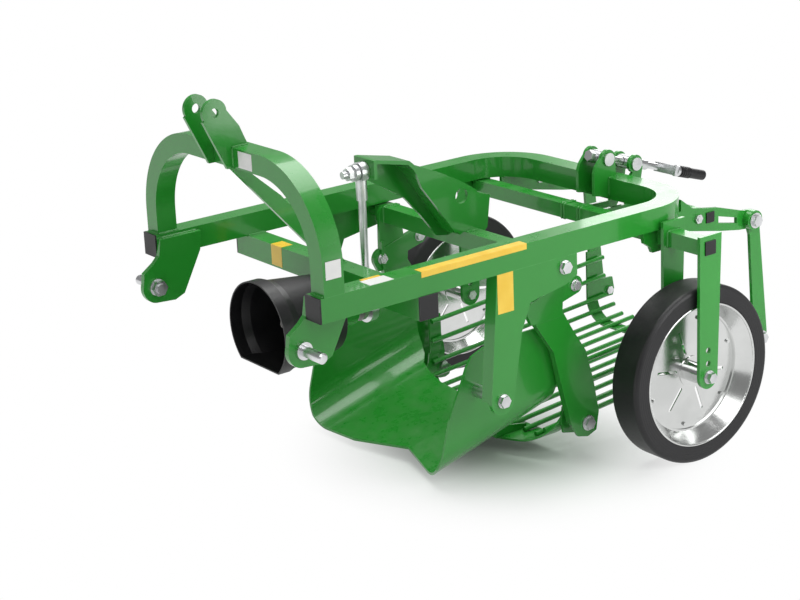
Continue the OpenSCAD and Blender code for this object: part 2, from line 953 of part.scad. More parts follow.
module hanger() {
  difference() {
    union() {
      side(hang_in + hang_t, hang_t)
        union() {
          polygon(hang_pts);
          translate([hang_bolt_x, hang_bolt_z])
            circle(20);
          translate([hang_x, hang_z])
            circle(23);
        }
      ycyl(hang_x, hang_in, hang_z, 23, hang_t + 8);
    }
    ycyl(hang_x, hang_in - 1, hang_z, bolt_r + run_gap, 30);
    ycyl(hang_bolt_x, hang_in - 1, hang_bolt_z, bolt_r + open_gap, 30);
  }
}

module hanger_left() {
  color(green)
    stand()
      hanger();
}

module hanger_right() {
  color(green)
    stand()
      mirror([0, 1, 0])
        hanger();
}

arm_in = hang_in - side_gap;

module hanger_bolts() {
  color(zinc)
    stand()
      both() {
        ycyl(hang_x, arm_in - 8 - head_h, hang_z,
             bolt_r, hang_t + 8 + 2 * head_h + 8 + side_gap * 2 + wash_t);
        ycyl(hang_x, hang_in + hang_t + 8 + side_gap, hang_z, 18, wash_t);
        yhex(hang_x, hang_in + hang_t + 8 + side_gap + wash_t, hang_z, nut_r, head_h);
        yhex(hang_x, arm_in - 8 - head_h, hang_z, nut_r, head_h);
      }
}

carrier_x = -199;
carrier_z = 477;
tube_s = 24;

carrier_pts = [[-40, beam_bot], [-40, 484], [-69, 472], [-147, 455], [-235, 437], [-294, 427],
               [hang_x - 4, 424], [hang_x - 8, 467], [-306, 470], [-225, 494], [-147, 507],
               [-109, 535], [-109, beam_bot]];

module rear_carrier() {
  color(green)
    stand() {
      both()
        side(arm_in, 8)
          difference() {
            union() {
              polygon(carrier_pts);
              translate([hang_x, hang_z])
                circle(22);
            }
            translate([hang_x, hang_z])
              circle(bolt_r);
            translate([-161, 481])
              circle(6);
            polygon([[-227, 473], [-286, 458], [-286, 445], [-227, 457]]);
            translate([carrier_x - tube_s / 2, carrier_z - tube_s / 2])
              square(tube_s);
          }
      translate([carrier_x - tube_s / 2, -arm_in, carrier_z - tube_s / 2])
        difference() {
          cube([tube_s, 2 * arm_in, tube_s]);
          translate([3, -1, 3])
            cube([tube_s - 6, 2 * arm_in + 2, tube_s - 6]);
        }
    }
}

module carrier_bolts() {
  color(zinc)
    stand()
      both() {
        ycyl(-161, arm_in - 8 - head_h, 481, 6, 8 + 2 * head_h);
        yhex(-161, arm_in, 481, 11, 6);
        yhex(-161, arm_in - 8 - 6, 481, 11, 6);
      }
}

module carrier_plugs() {
  color(black)
    stand()
      both()
        translate([carrier_x - tube_s / 2, arm_in, carrier_z - tube_s / 2])
          cube([tube_s, 3, tube_s]);
}

depth_x = -2;
depth_z = beam_bot - shaft_gap - depth_w / 2 + 1;
axle_x = 0;
axle_z = tyre_r;
leg_out = tyre_y + leg_gap_out;
leg_in = tyre_y - tyre_w - leg_gap_in;
journal_r = 15.5;
bear_y = 312;
bear_t = 10;
lev_gap = 22;
lev_pts = [[depth_x + 17, depth_z - 17], [depth_x + 17, depth_z + 4], [-59, depth_z - 1],
           [-128, depth_z - 3], [nut_x + 18, depth_z + 24], [nut_x + 15, nut_z - 25],
           [nut_x, nut_z - 10], [nut_x - 22, nut_z - 9], [nut_x - 13, nut_z - 55],
           [nut_x + 1, depth_z - 6], [nut_x + 14, depth_z - 25], [nut_x + 34, depth_z - 31],
           [depth_x, depth_z - 17]];

module depth_shaft() {
  color(green)
    stand() {
      difference() {
        union() {
          translate([depth_x - depth_w / 2 + 1, -(leg_out), depth_z - depth_w / 2 + 1])
            cube([depth_w - 2, 2 * leg_out, depth_w - 2]);
        }
        translate([depth_x - depth_w / 2 + 4, -(leg_out + 1), depth_z - depth_w / 2 + 4])
          cube([depth_w - 8, 2 * leg_out + 2, depth_w - 8]);
        both()
          difference() {
            translate([depth_x - depth_w, bear_y - bear_t - 4, depth_z - depth_w])
              cube([2 * depth_w, bear_t + 8, 2 * depth_w]);
            ycyl(depth_x, bear_y - bear_t - 5, depth_z, journal_r, bear_t + 10);
          }
      }
      both()
        difference() {
          ycyl(depth_x, bear_y - bear_t - 5, depth_z, journal_r, bear_t + 10);
          ycyl(depth_x, bear_y - bear_t - 6, depth_z, journal_r - 5, bear_t + 12);
        }
      for (y = [crank_y + lev_gap + 8, crank_y - lev_gap])
        side(y, 8)
          difference() {
            union() {
              polygon(lev_pts);
              translate([nut_x, nut_z])
                circle(21);
            }
            translate([nut_x, nut_z])
              circle(10 + run_gap);
            translate([depth_x - depth_w / 2 + 1, depth_z - depth_w / 2 + 1])
              square(depth_w - 2);
          }
    }
}

module leg_plan(top) {
  union() {
    polygon([[-37, top], [27, top], [27, axle_z], [-27, axle_z]]);
    translate([axle_x, axle_z])
      circle(27);
  }
}

module fork_legs() {
  color(green)
    stand()
      both()
        for (p = [[leg_out, depth_z + 27], [leg_in, depth_z + 39]])
          difference() {
            side(p[0], leg_t)
              difference() {
                leg_plan(p[1]);
                translate([axle_x, axle_z])
                  circle(axle_r);
                translate([axle_x + 1, axle_z + 30])
                  circle(7);
                translate([axle_x + 1, axle_z + 60])
                  circle(7);
              }
            translate([depth_x - depth_w / 2 + 1, p[0] - leg_t - 1, depth_z - depth_w / 2 + 1])
              cube([depth_w - 2, leg_t + 2, depth_w - 2]);
          }
}

module depth_plugs() {
  color(black)
    stand()
      both()
        translate([depth_x - 15, leg_out, depth_z - 15])
          cube([30, 3, 30]);
}

wheel_mid = tyre_y - tyre_w / 2;
hub_half = (leg_out - leg_t - leg_in) / 2 - side_gap;
hub_mid = (leg_out - leg_t + leg_in) / 2;

slot_half = 3.5;
slot_in = 46;
slot_out = 98;
disc_mid = wheel_mid - hub_mid;

// flat centre disc with its hub, rotated about the axle; y is measured from the hub's middle
module wheel_disc() {
  translate([axle_x, hub_mid, axle_z])
    rotate([-90, 0, 0])
      difference() {
        union() {
          cylinder(r = 22, h = 2 * hub_half, center = true);
          translate([0, 0, disc_mid - disc_t / 2])
            cylinder(r = dish_r, h = disc_t, $fn = 96);
          translate([0, 0, disc_mid - disc_t / 2 - 2])
            cylinder(r = 34, h = disc_t + 4);
          for (a = [20:60:320])
            translate([rim_bolt_r * cos(a), rim_bolt_r * sin(a), disc_mid - disc_t / 2 - 4])
              cylinder(r = 4.5, h = disc_t + 8, $fn = 6);
        }
        translate([0, 0, -2 * hub_half])
          cylinder(r = axle_r + run_gap, h = 4 * hub_half);
        for (a = [50:60:350])
          rotate([0, 0, a])
            union() {
              translate([slot_in, -slot_half, -tyre_w])
                cube([slot_out - slot_in, 2 * slot_half, 2 * tyre_w]);
              for (r = [slot_in, slot_out])
                translate([r, 0, -tyre_w])
                  cylinder(r = slot_half, h = 2 * tyre_w);
            }
      }
}

// section of the rim: two cones from the disc to the beads, with a bed under the tyre
module rim_profile() {
  h = tyre_w / 2;
  union() {
    for (s = [-1, 1])
      translate([0, disc_mid])
        scale([1, s])
          union() {
            polygon([[dish_r - 4, disc_t / 2], [dish_r + 3, disc_t / 2], [bead_r - 3, h - 6],
                     [bead_r - 3, h - 3], [bead_r - 6, h - 3], [dish_r, disc_t / 2 + 3],
                     [dish_r - 4, disc_t / 2 + 3]]);
            translate([bead_r - 3, h - 3])
              circle(3);
          }
    translate([bead_r - 3, disc_mid - h + 3])
      square([3, tyre_w - 6]);
  }
}

module wheel_rim() {
  translate([axle_x, hub_mid, axle_z])
    rotate([-90, 0, 0])
      rotate_extrude($fn = 96)
        rim_profile();
}

module tyre() {
  translate([axle_x, wheel_mid, axle_z])
    rotate([-90, 0, 0])
      rotate_extrude($fn = 128)
        difference() {
          union() {
            translate([bead_r, -tyre_w / 2])
              square([tyre_r - bead_r - 10, tyre_w]);
            translate([bead_r, -tyre_w / 2 + 10])
              square([tyre_r - bead_r, tyre_w - 20]);
            for (s = [-1, 1])
              translate([tyre_r - 10, s * (tyre_w / 2 - 10)])
                circle(10);
          }
          translate([-10, -tyre_w])
            square([bead_r + 10, 2 * tyre_w]);
        }
}

module wheel_disc_left() {
  color(zinc)
    stand()
      wheel_disc();
}

module wheel_disc_right() {
  color(zinc)
    stand()
      mirror([0, 1, 0])
        wheel_disc();
}

module wheel_rim_left() {
  color(zinc)
    stand()
      wheel_rim();
}

module wheel_rim_right() {
  color(zinc)
    stand()
      mirror([0, 1, 0])
        wheel_rim();
}

module tyre_left() {
  color(black)
    stand()
      tyre();
}

module tyre_right() {
  color(black)
    stand()
      mirror([0, 1, 0])
        tyre();
}

module axle_bolts() {
  color(zinc)
    stand()
      both() {
        ycyl(axle_x, leg_in - leg_t - 7, axle_z, axle_r, leg_out + 14 - leg_in + leg_t);
        ycyl(axle_x, leg_out, axle_z, wash_r, wash_t);
        yhex(axle_x, leg_out + wash_t, axle_z, 12, machine_half - leg_out - wash_t);
        yhex(axle_x, leg_in - leg_t - 7, axle_z, 12, 7);
      }
}

brk_pts = [[trun_x + 43, beam_bot + 15], [beam_rear + beam_w, beam_bot + 6],
           [beam_rear + beam_w, beam_top], [trun_x - 24, beam_top], [trun_x - 22, trun_z - 4],
           [trun_x, trun_z], [trun_x + 21, trun_z + 6], [trun_x + 37, trun_z - 12],
           [trun_x + 43, trun_z - 27]];

module depth_bracket() {
  color(green)
    stand() {
      for (y = [crank_y + lev_gap + 8, crank_y - lev_gap])
        side(y, 8)
          difference() {
            union() {
              polygon(brk_pts);
              translate([trun_x, trun_z])
                circle(22);
            }
            translate([trun_x, trun_z])
              circle(10 + run_gap);
          }
      both()
        difference() {
          side(bear_y, bear_t)
            polygon([[56, beam_bot], [50, depth_z - 10], [32, depth_z - 22], [26, depth_z - 35],
                     [-28, depth_z - 35], [-40, depth_z - 22], [-44, beam_bot]]);
          ycyl(depth_x, bear_y - bear_t - 1, depth_z, journal_r + run_gap, bear_t + 2);
        }
    }
}

// pin across the two plates with a thicker middle that carries the spindle
module trunnion(x, z, gap) {
  difference() {
    union() {
      ycyl(x, crank_y - lev_gap + side_gap, z, 16, 2 * lev_gap - 2 * side_gap);
      ycyl(x, crank_y - lev_gap - 8 - 4, z, 10, 2 * lev_gap + 16 + 8);
      ycyl(x, crank_y + lev_gap + 8 + side_gap, z, 15, 5);
      ycyl(x, crank_y - lev_gap - 8 - side_gap - 5, z, 15, 5);
    }
    crank_frame()
      translate([-60, 0, 0])
        rotate([0, 90, 0])
          cylinder(r = spindle_r + gap, h = 300);
  }
}

spindle_deg = 180 - atan2(trun_z - nut_z, trun_x - nut_x);

// local frame of the spindle: X along it to the rear from the front trunnion
module crank_frame() {
  translate([trun_x, crank_y, trun_z])
    rotate([0, spindle_deg, 0])
      children();
}

module front_trunnion() {
  color(zinc)
    stand()
      trunnion(trun_x, trun_z, run_gap);
}

module rear_trunnion() {
  color(zinc)
    stand()
      trunnion(nut_x, nut_z, nut_gap);
}

module depth_spindle() {
  color(zinc)
    stand()
      crank_frame() {
        xcyl(-34, 0, 0, spindle_r, 240);
        xhex(-34, 0, 0, 13, 12);
        xcyl(20, 0, 0, 14, 6);
        xcyl(122, 0, 0, 12, 30);
        translate([196, -11, -11])
          cube([10, 22 + crank_arm, 22]);
        xcyl(196, crank_arm, 0, 11, 104);
        xcyl(206, crank_arm, 0, 13, 8);
      }
}

module crank_grip() {
  color(black)
    stand()
      crank_frame()
        difference() {
          union() {
            xcyl(216, crank_arm, 0, grip_r, 84);
            for (i = [0:4])
              xcyl(220 + 7 * i, crank_arm, 0, grip_r + 1.2, 4);
          }
          xcyl(215, crank_arm, 0, 11 + run_gap, 85.1 - eps);
        }
}

film = 0.4;

strip_x = 398;
strip_l = 272;

module label_films() {
  color([0.95, 0.75, 0.1])
    stand() {
      translate([strip_x, beam_half, beam_top - 12])
        cube([strip_l, film, 12 + film]);
      translate([strip_x, beam_half - 22, beam_top])
        cube([strip_l, 22, film]);
      translate([arch_x - 120, beam_half - 36, beam_top])
        cube([58, 34, film]);
      translate([arch_x - 114, beam_half - 46, beam_top])
        cube([46, 10, film]);
      translate([436, beam_half, beam_bot - 84])
        cube([42, film, 84]);
      translate([cross_x, -190, cross_bot + 4])
        cube([film, 40, beam_h - 4 + film]);
      translate([cross_x - 30, -190, beam_bot])
        cube([30, 40, film]);
      translate([arch_x + 6, beam_half, beam_top + 34])
        cube([36, film, 36]);
      translate([arch_x + arch_w, 58, arch_top - arch_t + 4])
        cube([film, 48, arch_t - 8]);
    }
}

u_frame();
frame_plugs();
front_cross();
cross_plugs();
headstock_arch();
top_link_ears();
headstock_brace();
link_plate_left();
link_plate_right();
hitch_pin_left();
hitch_pin_right();
side_strut_left();
side_strut_right();
pto_bearing();
pto_shaft();
pto_guard();
connecting_rod();
rod_bolt();
rocker_arm();
rockshaft();
swing_lever_left();
swing_lever_right();
pivot_bolts();
share();
share_bolts();
sieve_band();
sieve_rods();
sieve_hoop();
sieve_bushes();
sieve_bolts();
hanger_left();
hanger_right();
hanger_bolts();
rear_carrier();
carrier_bolts();
carrier_plugs();
depth_shaft();
fork_legs();
depth_plugs();
wheel_disc_left();
wheel_disc_right();
wheel_rim_left();
wheel_rim_right();
tyre_left();
tyre_right();
axle_bolts();
depth_bracket();
front_trunnion();
rear_trunnion();
depth_spindle();
crank_grip();
label_films();
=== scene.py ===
# %% [markdown]
# # A vibrating potato digger
# The digger hangs on a tractor's three-point linkage. A scoop share lifts the row, a rod sieve
# that is shaken by the drive shaft drops the soil through, and two gauge wheels set the depth. The
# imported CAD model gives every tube, plate and bolt its size. This lesson adds the camera, the
# light, the paint and metal finishes, the bent sheets of the sieve and its levers, and the weld
# beads that only show from close by.

import math
import random

import bmesh
import bpy
from mathutils import Matrix, Vector


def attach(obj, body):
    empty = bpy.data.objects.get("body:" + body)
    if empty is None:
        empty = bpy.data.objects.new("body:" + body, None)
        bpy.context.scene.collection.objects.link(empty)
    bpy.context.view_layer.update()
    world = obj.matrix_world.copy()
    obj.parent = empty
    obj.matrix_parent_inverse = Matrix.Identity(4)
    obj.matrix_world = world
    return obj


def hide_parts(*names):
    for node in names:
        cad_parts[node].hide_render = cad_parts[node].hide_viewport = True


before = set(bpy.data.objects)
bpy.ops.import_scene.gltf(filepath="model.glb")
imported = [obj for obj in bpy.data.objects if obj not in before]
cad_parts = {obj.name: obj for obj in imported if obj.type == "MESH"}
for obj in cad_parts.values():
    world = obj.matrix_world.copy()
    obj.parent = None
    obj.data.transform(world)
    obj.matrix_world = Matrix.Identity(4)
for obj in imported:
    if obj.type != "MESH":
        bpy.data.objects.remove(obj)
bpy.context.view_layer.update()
scene = bpy.context.scene

# %% [markdown]
# The machine stands on its wheels with the frame slightly nose-down. The tubes were drawn level
# and then tilted about the ground point of the wheels, so a piece that follows a tube is easiest
# to place in the level frame and to tilt afterwards. `stand` does that for a point.

# %% The level frame and its tilt
MM = 0.001
STANCE = math.radians(3.44)
STANCE_X = 322.5
TYRE_R = 199.0


def stand(x, y, z):
    """A point of the level frame, in millimetres, as a place of the standing machine in metres."""
    c, s = math.cos(STANCE), math.sin(STANCE)
    return Vector((x * c + z * s - STANCE_X, y, -x * s + z * c + TYRE_R * (1 - c))) * MM


print("wheel axle stands at", [round(v, 4) for v in stand(0, 0, TYRE_R)])

# %% [markdown]
# ## Camera
# The picture was taken from the front left, a little above the machine, with a long lens. A camera
# can be placed by eye, or worked out from points whose real places are known. Here points of the
# picture and the machine's known length, width and height fix the lens, the place and the turn.
# The lens axis did not go through the middle of the picture, so the camera gets a small shift.

# %% The camera
CAMERA_PLACE = Vector((2.5581, 3.0591, 1.4787))
CAMERA_YAW = math.radians(-123.3946)
CAMERA_PITCH = math.radians(-14.3484)
CAMERA_ROLL = math.radians(-0.7617)
SENSOR_WIDTH, LENS = 36.0, 83.16
LENS_SHIFT = (0.1764, -0.0766)

look = Vector((math.cos(CAMERA_PITCH) * math.cos(CAMERA_YAW),
               math.cos(CAMERA_PITCH) * math.sin(CAMERA_YAW),
               math.sin(CAMERA_PITCH)))
level_right = look.cross(Vector((0, 0, 1))).normalized()
level_up = level_right.cross(look)
right = math.cos(CAMERA_ROLL) * level_right + math.sin(CAMERA_ROLL) * level_up
up = right.cross(look)

camera_data = bpy.data.cameras.new("camera")
camera_data.sensor_width = SENSOR_WIDTH
camera_data.lens = LENS
camera_data.shift_x, camera_data.shift_y = LENS_SHIFT
camera = bpy.data.objects.new("camera", camera_data)
turn = Matrix((right, up, -look)).transposed().to_4x4()
camera.matrix_world = Matrix.Translation(CAMERA_PLACE) @ turn
scene.collection.objects.link(camera)
scene.camera = camera
print("camera looks along", [round(v, 3) for v in look])

# %% [markdown]
# ## Floor and light
# A studio cut-out wants a white surround. A plain white floor would still turn grey where the
# lamps are weak, so the floor glows. Under the machine it stays matt, and there its colour is a
# darker grey-green: painted shade with a painted green reflection of the machine, because that
# shade shows between the rods of the sieve. From there the glow grows outwards and the painted
# shade fades, until the floor is as white as the world behind it.

# %% A helper for empty node trees
def new_tree(material):
    """A material with an empty node tree, and its output node."""
    material.use_nodes = True
    tree = material.node_tree
    tree.nodes.clear()
    return tree, tree.nodes.new("ShaderNodeOutputMaterial")


print("materials start from an empty node tree")

# %% The floor
# The floor colour under the machine is painted shade with a painted green reflection of the
# machine; it fades to the plain floor colour outwards.
FLOOR_PAINTED_SHADE = (0.44, 0.51, 0.45, 1)
FLOOR_OUTSIDE = (0.8, 0.8, 0.8, 1)
FLOOR_MIDDLE = (-0.02, 0.12, 0)
FLOOR_NEAR = 0.05
FLOOR_FAR = 0.52
FLOOR_GLOW_NEAR = 0.04
FLOOR_SIZE = 60

floor_material = bpy.data.materials.new("studio_floor")
tree, output = new_tree(floor_material)
matt = tree.nodes.new("ShaderNodeBsdfDiffuse")
glow = tree.nodes.new("ShaderNodeEmission")
glow.inputs["Strength"].default_value = 1.0
path = tree.nodes.new("ShaderNodeLightPath")
seen = tree.nodes.new("ShaderNodeMath")
seen.operation = "MAXIMUM"
place = tree.nodes.new("ShaderNodeTexCoord")
distance = tree.nodes.new("ShaderNodeVectorMath")
distance.operation = "DISTANCE"
distance.inputs[1].default_value = FLOOR_MIDDLE
spread = tree.nodes.new("ShaderNodeMapRange")
spread.interpolation_type = "SMOOTHSTEP"
spread.inputs["From Min"].default_value = FLOOR_NEAR
spread.inputs["From Max"].default_value = FLOOR_FAR
# The matt colour runs from the painted shade under the machine to the plain floor outside.
shade = tree.nodes.new("ShaderNodeMix")
shade.data_type = "RGBA"
shade_factor, shade_from, shade_to = (shade.inputs[i] for i in (0, 6, 7))
shade_from.default_value = FLOOR_PAINTED_SHADE
shade_to.default_value = FLOOR_OUTSIDE
shine = tree.nodes.new("ShaderNodeMapRange")
shine.inputs["To Min"].default_value = FLOOR_GLOW_NEAR
share = tree.nodes.new("ShaderNodeMath")
share.operation = "MULTIPLY"
mix = tree.nodes.new("ShaderNodeMixShader")
tree.links.new(path.outputs["Is Camera Ray"], seen.inputs[0])
tree.links.new(path.outputs["Is Glossy Ray"], seen.inputs[1])
tree.links.new(place.outputs["Object"], distance.inputs[0])
tree.links.new(distance.outputs["Value"], spread.inputs["Value"])
tree.links.new(seen.outputs[0], share.inputs[0])
tree.links.new(spread.outputs["Result"], shade_factor)
tree.links.new(shade.outputs[2], matt.inputs["Color"])
tree.links.new(spread.outputs["Result"], shine.inputs["Value"])
tree.links.new(shine.outputs["Result"], share.inputs[1])
tree.links.new(share.outputs[0], mix.inputs[0])
tree.links.new(matt.outputs[0], mix.inputs[1])
tree.links.new(glow.outputs[0], mix.inputs[2])
tree.links.new(mix.outputs[0], output.inputs["Surface"])

bpy.ops.mesh.primitive_plane_add(size=FLOOR_SIZE, location=(0, 0, 0))
floor = bpy.context.object
floor.name = "studio_floor"
floor.data.materials.append(floor_material)
print("the floor turns white over", FLOOR_FAR, "m")

# %% [markdown]
# The world does two jobs. To the camera it is pure white, as the paper behind a studio picture. To
# the machine it is a weak even light from all sides, which keeps the undersides from going black.

# %% The world
SKY_STRENGTH = 0.29

world = bpy.data.worlds.new("studio")
scene.world = world
world.use_nodes = True
tree = world.node_tree
tree.nodes.clear()
world_out = tree.nodes.new("ShaderNodeOutputWorld")
soft_sky = tree.nodes.new("ShaderNodeBackground")
soft_sky.inputs["Strength"].default_value = SKY_STRENGTH
white_sky = tree.nodes.new("ShaderNodeBackground")
path = tree.nodes.new("ShaderNodeLightPath")
mix = tree.nodes.new("ShaderNodeMixShader")
tree.links.new(path.outputs["Is Camera Ray"], mix.inputs[0])
tree.links.new(soft_sky.outputs[0], mix.inputs[1])
tree.links.new(white_sky.outputs[0], mix.inputs[2])
tree.links.new(mix.outputs[0], world_out.inputs["Surface"])
for sky in (soft_sky, white_sky):
    sky.inputs["Color"].default_value = (1, 1, 1, 1)
scene.view_settings.view_transform = "Standard"
print("the world is white to the camera")

# %% [markdown]
# Real studio lamps are large soft boxes, so area lamps are the nearest thing. A wide one hangs
# over the machine, the key lamp stands high at the front left where the picture has its
# highlights, and a small one beside the rear wheel lights the fork leg, which is the palest green
# of all. A weak lamp in front fills the arch, and one from behind parts the black tyres from the
# frame.

# %% Lamps
def lamp(name, place, target, size, watts):
    """A square soft lamp at a place, turned to a target."""
    data = bpy.data.lights.new(name, "AREA")
    data.size = size
    data.energy = watts
    lit = bpy.data.objects.new(name, data)
    lit.location = place
    lit.rotation_euler = (Vector(target) - Vector(place)).to_track_quat("-Z", "Y").to_euler()
    scene.collection.objects.link(lit)


MIDDLE = (0.0, 0.0, 0.4)
REAR_LEG = (-0.3, 0.44, 0.35)
LAMPS = (
    ("key_lamp", (1.2, 2.6, 3.4), MIDDLE, 2.4, 46),
    ("side_lamp", (-0.6, 1.3, 0.8), REAR_LEG, 0.8, 8),
    ("top_lamp", (-0.4, -0.6, 3.6), MIDDLE, 3.0, 122),
    ("front_lamp", (3.6, 0.4, 1.2), MIDDLE, 2.0, 12),
    ("rim_lamp", (-2.8, -1.6, 1.8), MIDDLE, 1.6, 25),
)
for settings in LAMPS:
    lamp(*settings)

# %% [markdown]
# ## Finishes
# Four effects come back in several finishes: the fine ripple of sprayed paint, dust that settles
# on faces that look up, the bright rub along edges, and the mottled skin of zinc. Each one is a
# node group, built once. A group only puts out masks and heights; the shader stays in the
# material, where its constant values are set on its own sockets.

# %% Helpers for node groups
def new_group(name, inputs, outputs):
    """A shader node group with float inputs {name: default} and float outputs [names]."""
    group = bpy.data.node_groups.new(name, "ShaderNodeTree")
    for title, value in inputs.items():
        socket = group.interface.new_socket(title, in_out="INPUT", socket_type="NodeSocketFloat")
        socket.default_value = value
    for title in outputs:
        group.interface.new_socket(title, in_out="OUTPUT", socket_type="NodeSocketFloat")
    return group, group.nodes.new("NodeGroupInput"), group.nodes.new("NodeGroupOutput")


def add(tree, kind, **settings):
    """A node with its properties set; a name that is no property sets the input it names."""
    made = tree.nodes.new(kind)
    for key, value in settings.items():
        if hasattr(made, key):
            setattr(made, key, value)
        else:
            made.inputs[key.replace("_", " ")].default_value = value
    return made


def ramp(tree, source, low, high, out_low=0.0, out_high=1.0):
    """Maps a value from low..high to out_low..out_high, clamped."""
    span = tree.nodes.new("ShaderNodeMapRange")
    tree.links.new(source, span.inputs["Value"])
    for title, value in (("From Min", low), ("From Max", high), ("To Min", out_low),
                         ("To Max", out_high)):
        span.inputs[title].default_value = value
    return span.outputs["Result"]


def math_node(tree, operation, a, b):
    """A math node; a and b are sockets or numbers."""
    made = tree.nodes.new("ShaderNodeMath")
    made.operation = operation
    for index, value in enumerate((a, b)):
        if isinstance(value, (int, float)):
            made.inputs[index].default_value = value
        else:
            tree.links.new(value, made.inputs[index])
    return made.outputs[0]


print("group helpers ready")

# %% [markdown]
# Every effect starts from noise in the object's own coordinates, because the noise then stays with
# a piece when a joint moves it. Dust needs to know which way a face looks, and the rub along edges
# compares a rounded normal with the true one: they only differ next to a sharp edge.

# %% Noise, ripple and dust
def object_noise(tree, scale, detail=3.0, roughness=0.55):
    """Noise in the object's own coordinates; scale may be a socket or a number."""
    place = add(tree, "ShaderNodeTexCoord")
    noise = add(tree, "ShaderNodeTexNoise")
    noise.inputs["Detail"].default_value = detail
    noise.inputs["Roughness"].default_value = roughness
    tree.links.new(place.outputs["Object"], noise.inputs["Vector"])
    if isinstance(scale, (int, float)):
        noise.inputs["Scale"].default_value = scale
    else:
        tree.links.new(scale, noise.inputs["Scale"])
    return noise.outputs["Fac"]


def make_spray_ripple():
    """Height of the fine ripple in sprayed paint, and slow patches of thicker and thinner coat."""
    group, given, result = new_group("spray_ripple", {"Ripple scale": 160.0, "Patch scale": 5.0},
                                     ["Height", "Patches"])
    fine = object_noise(group, given.outputs["Ripple scale"], detail=2.0)
    slow = object_noise(group, given.outputs["Patch scale"], detail=4.0)
    group.links.new(fine, result.inputs["Height"])
    group.links.new(ramp(group, slow, 0.3, 0.7), result.inputs["Patches"])
    return group


def make_settled_dust():
    """Mask of dust: more on faces that look up, broken by noise."""
    group, given, result = new_group("settled_dust", {"Amount": 0.3}, ["Dust"])
    facing = add(group, "ShaderNodeNewGeometry")
    split = add(group, "ShaderNodeSeparateXYZ")
    group.links.new(facing.outputs["Normal"], split.inputs[0])
    upward = ramp(group, split.outputs["Z"], 0.2, 1.0)
    grains = ramp(group, object_noise(group, 22.0, detail=8.0, roughness=0.7), 0.42, 0.68)
    both = math_node(group, "MULTIPLY", upward, grains)
    group.links.new(math_node(group, "MULTIPLY", both, given.outputs["Amount"]),
                    result.inputs["Dust"])
    return group


print("ripple and dust can be built")

# %% Edge rub and zinc mottle
RUB_RADIUS = 0.0022


def make_edge_rub():
    """Mask along sharp edges, found by comparing the rounded normal with the true one."""
    group, given, result = new_group("edge_rub", {"Amount": 0.5}, ["Edge"])
    rounded = add(group, "ShaderNodeBevel", samples=4)
    rounded.inputs["Radius"].default_value = RUB_RADIUS
    facing = add(group, "ShaderNodeNewGeometry")
    dot = add(group, "ShaderNodeVectorMath", operation="DOT_PRODUCT")
    group.links.new(rounded.outputs[0], dot.inputs[0])
    group.links.new(facing.outputs["Normal"], dot.inputs[1])
    edge = ramp(group, dot.outputs["Value"], 0.995, 0.86)
    broken = ramp(group, object_noise(group, 60.0, detail=6.0), 0.35, 0.62)
    both = math_node(group, "MULTIPLY", edge, broken)
    group.links.new(math_node(group, "MULTIPLY", both, given.outputs["Amount"]),
                    result.inputs["Edge"])
    return group


def make_zinc_mottle():
    """Cloudy tone of a zinc coat and its tiny crystals."""
    group, given, result = new_group("zinc_mottle", {"Crystal scale": 320.0, "Cloud scale": 14.0},
                                     ["Tone", "Height"])
    place = add(group, "ShaderNodeTexCoord")
    crystals = add(group, "ShaderNodeTexVoronoi")
    group.links.new(place.outputs["Object"], crystals.inputs["Vector"])
    group.links.new(given.outputs["Crystal scale"], crystals.inputs["Scale"])
    clouds = object_noise(group, given.outputs["Cloud scale"], detail=5.0)
    group.links.new(ramp(group, clouds, 0.3, 0.7), result.inputs["Tone"])
    group.links.new(crystals.outputs["Distance"], result.inputs["Height"])
    return group


EFFECTS = {made.name: made for made in (make_spray_ripple(), make_settled_dust(),
                                        make_edge_rub(), make_zinc_mottle())}
print("effects:", sorted(EFFECTS))

# %% [markdown]
# A finish is always built the same way: a Principled shader, a few effect groups, colours mixed by
# their masks and one bump of a real depth. Small helpers for each of these keep the finishes
# short.

# %% Helpers for materials
def effect(tree, name, **values):
    """One of the effect groups, placed in a material with its own values."""
    placed = tree.nodes.new("ShaderNodeGroup")
    placed.node_tree = EFFECTS[name]
    for title, value in values.items():
        placed.inputs[title.replace("_", " ")].default_value = value
    return placed


def tint(tree, factor, first, second):
    """Mixes two colours, or a colour socket and a colour, by a factor socket."""
    mixed = tree.nodes.new("ShaderNodeMix")
    mixed.data_type = "RGBA"
    tree.links.new(factor, mixed.inputs["Factor"])
    for title, value in (("A", first), ("B", second)):
        socket = [s for s in mixed.inputs if s.name == title and s.type == "RGBA"][0]
        if isinstance(value, tuple):
            socket.default_value = (*value, 1)
        else:
            tree.links.new(value, socket)
    return [s for s in mixed.outputs if s.type == "RGBA"][0]


def bump(tree, height, depth, strength=1.0):
    """A bump node of a real depth in metres."""
    made = tree.nodes.new("ShaderNodeBump")
    made.inputs["Distance"].default_value = depth
    made.inputs["Strength"].default_value = strength
    tree.links.new(height, made.inputs["Height"])
    return made.outputs["Normal"]


def finish(name, **constants):
    """A material with a Principled shader whose constant sockets are set by title."""
    material = bpy.data.materials.new(name)
    tree, output = new_tree(material)
    shader = tree.nodes.new("ShaderNodeBsdfPrincipled")
    for title, value in constants.items():
        shader.inputs[title.replace("_", " ")].default_value = value
    tree.links.new(shader.outputs[0], output.inputs["Surface"])
    return material, tree, shader


print("material helpers ready")

# %% [markdown]
# ### Green machine paint
# The frame is sprayed with a glossy mid-green enamel. A clear coat over a slightly rougher base
# gives the two highlights of thick paint: a sharp one and a broad one. The colour wanders a little
# between thicker and thinner patches, dust dulls the upper faces, and the edges are rubbed to a
# paler green.

# %% Green paint
GREEN = (0.014, 0.232, 0.019)
GREEN_THIN = (0.018, 0.262, 0.024)
GREEN_RUBBED = (0.090, 0.400, 0.100)
DUST = (0.42, 0.46, 0.38)

